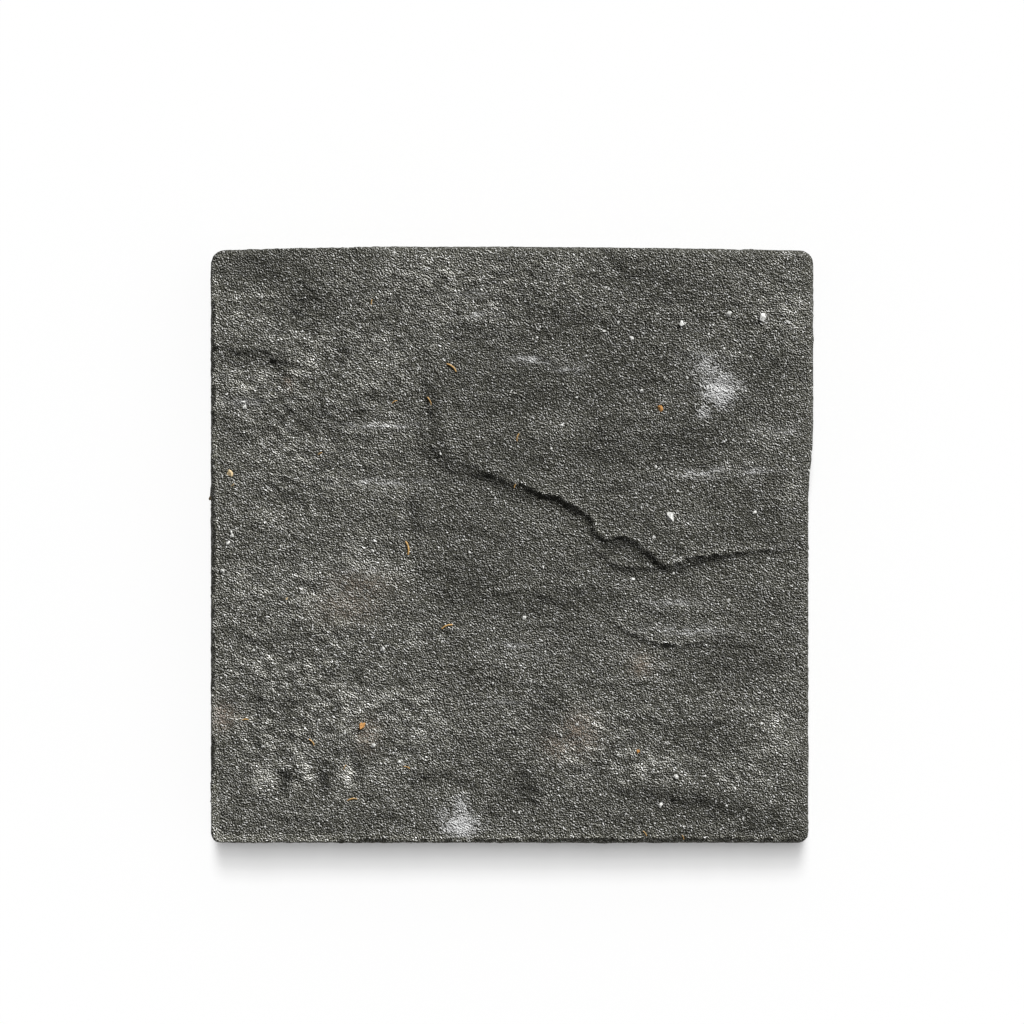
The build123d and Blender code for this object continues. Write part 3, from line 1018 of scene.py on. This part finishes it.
GRAIN_LIE = (0.5, 0.35, 0.6)
FLANK_TURN = math.radians(55.0)  # the side of the sand grains that gets the painted highlight, towards the key lamp, from +X
FLANK_STEP = 0.45  # how far towards the key lamp the grain is felt again for its painted flank shading, as a share of its width
# flank values over which the painted shade gives way to the concrete
FLANK_SHADE = (-0.15, 0.05)
# flank values over which the painted highlight comes in
FLANK_HIGHLIGHT = (0.08, 0.24)
GLINT_SIZE = 1.6  # as a share of a grain
GLINT_SHIFT = (1.0, 2.0, 3.0)
GLINT_RANGE = (0.64, 0.72)
LOOSE_TONE = 1.0
PAINTED_LIGHT_GAIN = 1.6  # how much paler the painted light makes the rim on the side away from the key lamp
FLECK_TURN = math.radians(20.0)  # the way that the rubbed flecks run, clockwise from +X
FLECK_SIZE = (7.5 * MM, 3.2 * MM, 3.6 * MM)
FLECK_RANGE = (0.44, 0.64)
PATCHY_RANGE = (0.36, 0.62)
FLECK_TONES = (-0.3, 0.75)
RISE_TONES = {"raised": 1.8, "raised_wide": 0.6}  # change of tone for each millimetre raised


def concrete_material(settings):
    """Charcoal concrete: painted shade and painted highlights on the sand grains' flanks, painted glints, painted
    shade along ledges, painted light on the rim away from the key lamp, scuffs, bloom and faint stains.
    """
    material, tree, shader = new_material("riven_concrete")
    place = add_node(tree, "ShaderNodeTexCoord").outputs["Object"]

    def mark(name):
        return add_node(tree, "ShaderNodeAttribute", attribute_name=name).outputs["Fac"]

    # Grain: each sand grain gets a painted highlight on the flank that faces the key lamp, and painted shade on the
    # other
    width = settings.grain_size
    step = width * FLANK_STEP
    ahead = vectors(tree, "ADD", place, (step * math.cos(FLANK_TURN), step * math.sin(FLANK_TURN), 0.0))

    def sand(spot, share=1.0):
        """Noise as wide as a share of a grain, turned so that its lattice doesn't show."""
        turned = add_node(tree, "ShaderNodeMapping", {"Vector": spot, "Rotation": GRAIN_LIE}).outputs[0]
        return speckle(tree, turned, width * share, 0.5, 0.5, 0.15)

    grain = sand(place)
    flank = maths(tree, "SUBTRACT", grain, sand(ahead))

    # Tone: listed patches, broken up by mottling and streaks along the bed. What stands up is paler, and what lies
    # low darker.
    mottle = speckle(tree, place, 6.0 * MM, 4.0, 0.65)
    streak = speckle(tree, stretch(tree, place, 12.0 * MM, 2.2 * MM, 6.0 * MM), 1.0, 3.0, 0.6)
    loose = maths(tree, "ADD", mottle, maths(tree, "SUBTRACT", streak, 1.0))
    turned = add_node(
        tree, "ShaderNodeVectorRotate", {"Vector": place, "Angle": FLECK_TURN}, rotation_type="Z_AXIS"
    ).outputs[0]
    fleck = speckle(tree, stretch(tree, turned, *FLECK_SIZE), 1.0, 2.0, 0.6, 0.4)
    patchy = maths(tree, "MULTIPLY", mark("tone"), remap(tree, fleck, *PATCHY_RANGE, 0.4, 1.35))
    tone = maths(tree, "MULTIPLY_ADD", loose, LOOSE_TONE, patchy)
    fleck = remap(tree, fleck, *FLECK_RANGE, FLECK_TONES[0], FLECK_TONES[1])
    tone = maths(tree, "MULTIPLY_ADD", fleck, mark("lumpy"), tone)
    # Painted shade along the feet of ledges, in creases and in dimples
    tone = maths(tree, "SUBTRACT", tone, mark("painted_ledge_shade"))
    inner = mark("inner")
    for name, share in RISE_TONES.items():
        rise = maths(tree, "MULTIPLY", maths(tree, "MULTIPLY", mark(name), share / MM), inner)
        rise = add_node(tree, "ShaderNodeClamp", {"Value": rise, "Min": -0.8, "Max": 0.9}).outputs[0]
        tone = maths(tree, "ADD", tone, rise)
    face = mark("face")

    # Painted shade on the grain flanks that face away from the key lamp, and painted highlights on those that face
    # it, more of them where the tone is light
    colour = blend(tree, remap(tree, flank, *FLANK_SHADE), settings.painted_shade_colour, settings.concrete_colour)
    lit_flank = maths(tree, "MULTIPLY_ADD", tone, 0.04, flank)
    tips = maths(tree, "MULTIPLY", remap(tree, lit_flank, *FLANK_HIGHLIGHT), remap(tree, face, 0.0, 1.0, 0.35, 1.0))
    colour = blend(tree, tips, colour, settings.painted_highlight_colour)
    # Painted glints: bright specks on the grain flanks that face the key lamp
    glint = sand(vectors(tree, "ADD", place, GLINT_SHIFT), GLINT_SIZE)
    glint = maths(tree, "MULTIPLY", remap(tree, glint, *GLINT_RANGE), remap(tree, flank, -0.02, 0.06))
    colour = blend(tree, maths(tree, "MULTIPLY", glint, face), colour, settings.bloom_and_glint_colour)
    level = maths(tree, "POWER", 1.6, tone)
    level = maths(tree, "MULTIPLY", level, remap(tree, face, 0.0, 1.0, 0.75, 1.0))
    # Painted light: the rim on the side away from the key lamp is made paler
    level = maths(tree, "MULTIPLY", level, maths(tree, "MULTIPLY_ADD", mark("rub_and_painted_light"), PAINTED_LIGHT_GAIN, 1.0))
    colour = vectors(
        tree, "MULTIPLY", colour, add_node(tree, "ShaderNodeCombineXYZ", {0: level, 1: level, 2: level}).outputs[0]
    )

    # Scuffs, bloom, stains
    broken = remap(tree, speckle(tree, place, 1.4 * MM, 3.0, 0.7), 0.38, 0.58)
    rub_and_painted_light = remap(tree, speckle(tree, stretch(tree, place, 7.0 * MM, 1.6 * MM, 4.0 * MM), 1.0, 3.0, 0.6), 0.40, 0.60)
    scuff = maths(tree, "MULTIPLY", maths(tree, "MULTIPLY", mark("scuff"), broken), rub_and_painted_light)
    ragged = maths(tree, "SUBTRACT", speckle(tree, place, 5.0 * MM, 4.0, 0.65), 0.5)
    bloom = maths(tree, "MULTIPLY_ADD", ragged, 0.9, mark("bloom"))
    speck = maths(tree, "MULTIPLY_ADD", maths(tree, "SUBTRACT", broken, 0.6), 0.5, bloom)
    # The bloom is paler on the grain flanks that face the key lamp: painted highlight over the bloom's own colour
    bloom = remap(tree, maths(tree, "MULTIPLY_ADD", flank, 1.2, speck), 0.20, 1.10)
    pale = maths(tree, "MAXIMUM", maths(tree, "MULTIPLY", scuff, 1.3), bloom)
    colour = blend(tree, pale, colour, settings.bloom_and_glint_colour)
    stain = maths(tree, "MULTIPLY", mark("stain"), maths(tree, "MULTIPLY", broken, 0.8))
    colour = blend(tree, stain, colour, settings.stain_colour)

    bump = add_node(
        tree, "ShaderNodeBump", {"Strength": 1.0, "Distance": settings.grain_depth, "Height": grain}
    )
    tree.links.new(colour, shader.inputs["Base Color"])
    tree.links.new(bump.outputs[0], shader.inputs["Normal"])
    shader.inputs["Roughness"].default_value = 0.88
    shader.inputs["Specular IOR Level"].default_value = 0.12
    return material


def plain_material(name, colour, patch_size, depth, roughness):
    """A mineral or straw finish: one colour, mottled and a little rough."""
    material, tree, shader = new_material(name)
    place = add_node(tree, "ShaderNodeTexCoord").outputs["Object"]
    mottle = speckle(tree, place, patch_size, 3.0, 0.6)
    dark = [channel * 0.45 for channel in colour[:3]] + [1.0]
    tree.links.new(
        blend(tree, remap(tree, mottle, 0.30, 0.58), dark, colour), shader.inputs["Base Color"]
    )
    bump = add_node(tree, "ShaderNodeBump", {"Strength": 1.0, "Distance": depth, "Height": mottle})
    tree.links.new(bump.outputs[0], shader.inputs["Normal"])
    shader.inputs["Roughness"].default_value = roughness
    return material


class StoneOperator(bpy.types.Operator):
    """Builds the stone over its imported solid"""

    bl_idname = "stepping_stone.build_stone"
    bl_label = "Stone"

    def execute(self, context):
        settings = context.scene.stepping_stone
        noise.seed_set(WANDER_SEED)
        mesh = stone_mesh(settings.cells)
        mark_mesh(mesh)
        piece = add_piece("riven_stone", mesh)
        run_tree(
            piece,
            relief_tree(concrete_material(settings)),
            {
                "Lump Size": settings.lump_size,
                "Lump Height": settings.lump_height,
                "Cleft Length": settings.cleft_length,
                "Cleft Width": settings.cleft_width,
                "Cleft Step": settings.cleft_step,
                "Nick Size": settings.nick_size,
                "Nick Depth": settings.nick_depth,
                "Pit Spacing": settings.pit_spacing,
                "Pit Depth": settings.pit_depth,
            },
        )
        seat(piece, NODE)
        return {"FINISHED"}


def chip_tree(name, material):
    """Angular chips, one for each point, bedded in the stone below it."""
    tree, given, exit_node = geometry_tree(
        name, {"Stone": "NodeSocketObject", "Sunk Share": "NodeSocketFloat", "Seed": "NodeSocketInt"}
    )
    sink = maths(tree, "MULTIPLY", read_mark(tree, "width"), given["Sunk Share"])
    lowered = add_node(
        tree, "ShaderNodeCombineXYZ", {"Z": maths(tree, "MULTIPLY", sink, -1.0)}
    ).outputs[0]
    bedded = add_node(
        tree, "GeometryNodeSetPosition", {"Geometry": bed_points(tree, given), "Offset": lowered}
    ).outputs[0]
    finish_tree(tree, broken_stones(tree, bedded, given["Seed"]), exit_node, material)
    return tree


def random_vector(tree, low, high, seed):
    """A vector of its own for each point, between these bounds."""
    inputs = {"Min": low, "Max": high, "Seed": seed}
    made = add_node(tree, "FunctionNodeRandomValue", inputs, data_type="FLOAT_VECTOR")
    return made.outputs["Value"]


def broken_stones(tree, points, seed):
    """A faceted stone on each point, as wide as the point says and broken to a shape of its own."""
    width = read_mark(tree, "width")
    ball = add_node(tree, "GeometryNodeMeshIcoSphere", {"Radius": 0.5, "Subdivisions": 1})
    shape = random_vector(tree, (0.95, 0.7, 0.4), (1.2, 1.05, 0.6), seed)
    stones = add_node(
        tree, "GeometryNodeInstanceOnPoints",
        {
            "Points": points,
            "Instance": ball.outputs["Mesh"],
            "Rotation": random_vector(tree, (-0.25, -0.25, 0.0), (0.25, 0.25, 6.28), seed),
            "Scale": add_node(
                tree, "ShaderNodeVectorMath", {0: shape, "Scale": width}, operation="SCALE"
            ).outputs[0],
        },
    ).outputs[0]
    whole = add_node(tree, "GeometryNodeRealizeInstances", {"Geometry": stones}).outputs[0]
    place = add_node(tree, "GeometryNodeInputPosition").outputs[0]
    stir = add_node(tree, "ShaderNodeTexNoise", {"Vector": place, "Scale": 900.0, "Detail": 1.0})
    push = add_node(
        tree, "ShaderNodeVectorMath",
        {
            0: vectors(tree, "SUBTRACT", stir.outputs["Color"], (0.5, 0.5, 0.5)),
            "Scale": maths(tree, "MULTIPLY", width, 0.7),
        },
        operation="SCALE",
    ).outputs[0]
    return add_node(tree, "GeometryNodeSetPosition", {"Geometry": whole, "Offset": push}).outputs[0]


def sand_tree(material):
    """White sand grains scattered over the stone's face, in loose clusters."""
    tree, given, exit_node = geometry_tree(
        "sand_grains",
        {
            "Stone": "NodeSocketObject",
            "Grains Per Area": "NodeSocketFloat",
            "Cluster Size": "NodeSocketFloat",
            "Smallest": "NodeSocketFloat",
            "Largest": "NodeSocketFloat",
            "Seed": "NodeSocketInt",
        },
    )
    stone = add_node(tree, "GeometryNodeObjectInfo", {"Object": given["Stone"]}).outputs["Geometry"]
    place = add_node(tree, "GeometryNodeInputPosition").outputs[0]
    cluster = remap(tree, speckle(tree, place, given["Cluster Size"], 2.0, 0.5), 0.35, 0.7)
    density = maths(tree, "MULTIPLY", cluster, given["Grains Per Area"])
    points = add_node(
        tree, "GeometryNodeDistributePointsOnFaces",
        {
            "Mesh": stone,
            "Selection": maths(tree, "GREATER_THAN", read_mark(tree, "face"), 0.5),
            "Density": density,
            "Seed": given["Seed"],
        },
    ).outputs["Points"]
    chance = add_node(tree, "FunctionNodeRandomValue", {"Seed": given["Seed"]}).outputs[1]
    share = maths(tree, "POWER", chance, 3.0)
    spread_width = maths(tree, "SUBTRACT", given["Largest"], given["Smallest"])
    sized = add_node(
        tree, "GeometryNodeStoreNamedAttribute",
        {
            "Geometry": points,
            "Name": "width",
            "Value": maths(tree, "MULTIPLY_ADD", share, spread_width, given["Smallest"]),
        },
        data_type="FLOAT", domain="POINT",
    ).outputs[0]
    finish_tree(tree, broken_stones(tree, sized, given["Seed"]), exit_node, material)
    return tree


def bed_points(tree, given):
    """The given points, dropped on the stone."""
    stone = add_node(tree, "GeometryNodeObjectInfo", {"Object": given["Stone"]}).outputs["Geometry"]
    place = add_node(tree, "GeometryNodeInputPosition").outputs[0]
    drop = add_node(
        tree, "GeometryNodeRaycast",
        {
            "Target Geometry": stone,
            "Source Position": place,
            "Ray Direction": (0.0, 0.0, -1.0),
            "Ray Length": 1.0,
        },
    )
    return add_node(
        tree, "GeometryNodeSetPosition",
        {"Geometry": given["Geometry"], "Position": drop.outputs["Hit Position"]},
    ).outputs[0]


def point_mesh(name, rows, columns):
    """Points above the stone, with the rest of each row kept under these names."""
    mesh = bpy.data.meshes.new(name)
    mesh.from_pydata([(row[0] * MM, row[1] * MM, RAY) for row in rows], [], [])
    for index, (column, unit) in enumerate(columns.items()):
        values = [row[index + 2] * unit for row in rows]
        mesh.attributes.new(column, "FLOAT", "POINT").data.foreach_set("value", values)
    return mesh


def build_chips(context, name, rows, material, seed):
    """One piece of bedded chips."""
    piece = add_piece(name, point_mesh(name, rows, {"width": MM}))
    stone = context.scene.objects["riven_stone"]
    run_tree(piece, chip_tree(name, material), {"Stone": stone, "Sunk Share": 0.06, "Seed": seed})
    seat(piece)


class ChipOperator(bpy.types.Operator):
    """Beds the white aggregate chips and tan grains in the face"""

    bl_idname = "stepping_stone.build_chips"
    bl_label = "Aggregate chips"

    def execute(self, context):
        settings = context.scene.stone_inclusions
        white = plain_material("white_aggregate", settings.chip_colour, 1.2 * MM, 0.2 * MM, 0.7)
        build_chips(context, "aggregate_chips", CHIPS, white, 3)
        tan = plain_material("tan_grain", settings.tan_colour, 1.2 * MM, 0.2 * MM, 0.7)
        build_chips(context, "tan_grains", TAN_GRAINS, tan, 4)
        return {"FINISHED"}


class SandOperator(bpy.types.Operator):
    """Scatters the white sand grains over the face"""

    bl_idname = "stepping_stone.build_sand"
    bl_label = "Sand grains"

    def execute(self, context):
        settings = context.scene.stone_inclusions
        material = plain_material("white_sand", settings.chip_colour, 1.0 * MM, 0.1 * MM, 0.7)
        piece = add_piece("sand_grains", bpy.data.meshes.new("sand_grains"))
        run_tree(
            piece,
            sand_tree(material),
            {
                "Stone": context.scene.objects["riven_stone"],
                "Grains Per Area": settings.sand_density,
                "Cluster Size": settings.sand_cluster,
                "Smallest": settings.sand_smallest,
                "Largest": settings.sand_largest,
                "Seed": 5,
            },
        )
        seat(piece)
        return {"FINISHED"}


class RustOperator(bpy.types.Operator):
    """Beds the rust-brown grains in the face"""

    bl_idname = "stepping_stone.build_rusty_grains"
    bl_label = "Rusty grains"

    def execute(self, context):
        colour = context.scene.stone_inclusions.rust_colour
        material = plain_material("rusty_grain", colour, 1.0 * MM, 0.2 * MM, 0.75)
        build_chips(context, "rusty_grains", RUSTY_GRAINS, material, 8)
        return {"FINISHED"}


def straw_tree(material):
    """Bent straw bits, one for each point, lying on the stone below it."""
    tree, given, exit_node = geometry_tree(
        "straw_bits", {"Stone": "NodeSocketObject", "Width": "NodeSocketFloat"}
    )
    bedded = bed_points(tree, given)
    span = read_mark(tree, "span")
    turn = read_mark(tree, "turn")
    arc = add_node(
        tree, "GeometryNodeCurveQuadraticBezier",
        {"Resolution": 7, "Start": (-0.5, 0.0, -0.04), "Middle": (0.05, 0.25, 0.08), "End": (0.5, 0.0, -0.04)},
    ).outputs[0]
    slope = add_node(tree, "GeometryNodeSplineParameter").outputs["Factor"]
    thin = remap(tree, slope, 0.0, 1.0, 1.0, 0.45)
    arc = add_node(tree, "GeometryNodeSetCurveRadius", {"Curve": arc, "Radius": thin}).outputs[0]
    ring = add_node(
        tree, "GeometryNodeCurvePrimitiveCircle", {"Resolution": 6, "Radius": 0.075}
    ).outputs[0]
    stalk = add_node(
        tree, "GeometryNodeCurveToMesh", {"Curve": arc, "Profile Curve": ring, "Fill Caps": True}
    ).outputs[0]
    rotation = add_node(tree, "ShaderNodeCombineXYZ", {"Z": turn}).outputs[0]
    scale = add_node(
        tree, "ShaderNodeCombineXYZ", {"X": span, "Y": span, "Z": span}
    ).outputs[0]
    bits = add_node(
        tree, "GeometryNodeInstanceOnPoints",
        {"Points": bedded, "Instance": stalk, "Rotation": rotation, "Scale": scale},
    ).outputs[0]
    finish_tree(tree, bits, exit_node, material)
    return tree


class StrawOperator(bpy.types.Operator):
    """Lays the straw bits on the face"""

    bl_idname = "stepping_stone.build_straws"
    bl_label = "Straw bits"

    def execute(self, context):
        settings = context.scene.stone_inclusions
        material = plain_material("straw", settings.straw_colour, 1.5 * MM, 0.1 * MM, 0.6)
        rows = point_mesh("straw_bits", STRAWS, {"span": MM, "turn": math.radians(1.0)})
        piece = add_piece("straw_bits", rows)
        stone = context.scene.objects["riven_stone"]
        run_tree(piece, straw_tree(material), {"Stone": stone, "Width": settings.straw_width})
        seat(piece)
        return {"FINISHED"}


# The stage
FLOOR_HALF = 3.0


def camera_rays(tree):
    """1 for what the camera sees directly, in gloss or through glass, and 0 for light on the stone."""
    path = add_node(tree, "ShaderNodeLightPath").outputs
    seen = maths(tree, "MAXIMUM", path["Is Camera Ray"], path["Is Glossy Ray"])
    return maths(tree, "MAXIMUM", seen, path["Is Transmission Ray"])


def floor_material(settings):
    """A pale floor that shows white and keeps the stone's shadow."""
    material, tree, shader = new_material("pale_floor")
    shader.inputs["Base Color"].default_value = settings.floor_colour
    shader.inputs["Roughness"].default_value = 1.0
    shader.inputs["Specular IOR Level"].default_value = 0.0
    shader.inputs["Emission Color"].default_value = (1.0, 1.0, 1.0, 1.0)
    lift = 1.0 - settings.floor_colour[0] * (settings.key_level + settings.fill_level)
    tree.links.new(
        maths(tree, "MULTIPLY", camera_rays(tree), lift), shader.inputs["Emission Strength"]
    )
    return material


def build_world(settings):
    """Even light from all round, and white where the camera looks past the floor."""
    world = bpy.data.worlds.new("studio")
    world.use_nodes = True
    tree = world.node_tree
    level = remap(tree, camera_rays(tree), 0.0, 1.0, settings.fill_level, 1.0)
    tree.links.new(level, tree.nodes["Background"].inputs["Strength"])
    tree.nodes["Background"].inputs["Color"].default_value = (1.0, 1.0, 1.0, 1.0)
    return world


FLOOR_LAMP_HEIGHTS = (61.0, 69.0, 77.0, 84.0)  # over the horizon, from behind the stone
FLOOR_LAMP_SOFTNESS = math.radians(12.0)


def add_lamp(name, level, turn, height, softness, lit):
    """A far lamp that gives a level face this share of light, on the pieces named as lit."""
    lamp = bpy.data.lights.new(name, "SUN")
    lamp.energy = level * math.pi / math.sin(height)
    lamp.angle = softness
    stand = add_piece(name, lamp)
    stand.rotation_euler = (0.0, math.pi / 2 - height, turn)
    group = bpy.data.collections.new(f"{name}_lit")
    for piece in lit:
        group.objects.link(piece)
    stand.light_linking.receiver_collection = group


class StageOperator(bpy.types.Operator):
    """Sets the floor, the light and the camera"""

    bl_idname = "stepping_stone.build_stage"
    bl_label = "Stage"

    def execute(self, context):
        settings = context.scene.stone_stage
        pieces = [piece for piece in context.scene.objects if piece.type == "MESH"]
        mesh = bpy.data.meshes.new("floor")
        corners = [(-FLOOR_HALF, -FLOOR_HALF), (FLOOR_HALF, -FLOOR_HALF),
                   (FLOOR_HALF, FLOOR_HALF), (-FLOOR_HALF, FLOOR_HALF)]
        mesh.from_pydata([(x, y, 0.0) for x, y in corners], [], [(0, 1, 2, 3)])
        mesh.materials.append(floor_material(settings))
        floor = add_piece("floor", mesh)
        context.scene.world = build_world(settings)

        add_lamp(
            "key", settings.key_level, settings.key_turn, settings.key_height, settings.key_softness, pieces
        )
        for height in FLOOR_LAMP_HEIGHTS:
            share = settings.key_level / len(FLOOR_LAMP_HEIGHTS)
            add_lamp(
                f"floor_lamp_{height:.0f}", share, math.pi / 2, math.radians(height),
                FLOOR_LAMP_SOFTNESS, [floor],
            )

        lens = bpy.data.cameras.new("camera")
        lens.lens = settings.lens
        lens.clip_end = 10.0
        camera = add_piece("camera", lens)
        distance = settings.view_width * settings.lens / lens.sensor_width
        camera.location = (0.0, settings.view_rise, stone_high.z + distance)
        context.scene.camera = camera
        context.scene.view_settings.view_transform = "Standard"
        return {"FINISHED"}


class StonePanel(bpy.types.Panel):
    """The steps that build the stone"""

    bl_idname = "VIEW3D_PT_stepping_stone"
    bl_label = "Stepping stone"
    bl_space_type = "VIEW_3D"
    bl_region_type = "UI"
    bl_category = "Stone"

    def draw(self, context):
        for operator in OPERATORS:
            self.layout.operator(operator.bl_idname)
        for name in SETTINGS:
            group = getattr(context.scene, name)
            box = self.layout.box()
            for prop in group.bl_rna.properties:
                if prop.identifier not in ("rna_type", "name"):
                    box.prop(group, prop.identifier)


SETTINGS = {
    "stepping_stone": StoneSettings,
    "stone_inclusions": InclusionSettings,
    "stone_stage": StageSettings,
}
OPERATORS = (StoneOperator, ChipOperator, SandOperator, RustOperator, StrawOperator, StageOperator)


def register():
    for made in (*SETTINGS.values(), *OPERATORS, StonePanel):
        bpy.utils.register_class(made)
    for name, group in SETTINGS.items():
        setattr(bpy.types.Scene, name, PointerProperty(type=group))


def unregister():
    for name in SETTINGS:
        delattr(bpy.types.Scene, name)
    for made in reversed((*SETTINGS.values(), *OPERATORS, StonePanel)):
        bpy.utils.unregister_class(made)


def main():
    register()
    bpy.ops.stepping_stone.build_stone()
    bpy.ops.stepping_stone.build_chips()
    bpy.ops.stepping_stone.build_sand()
    bpy.ops.stepping_stone.build_rusty_grains()
    bpy.ops.stepping_stone.build_straws()
    bpy.ops.stepping_stone.build_stage()


if __name__ == "__main__":
    main()
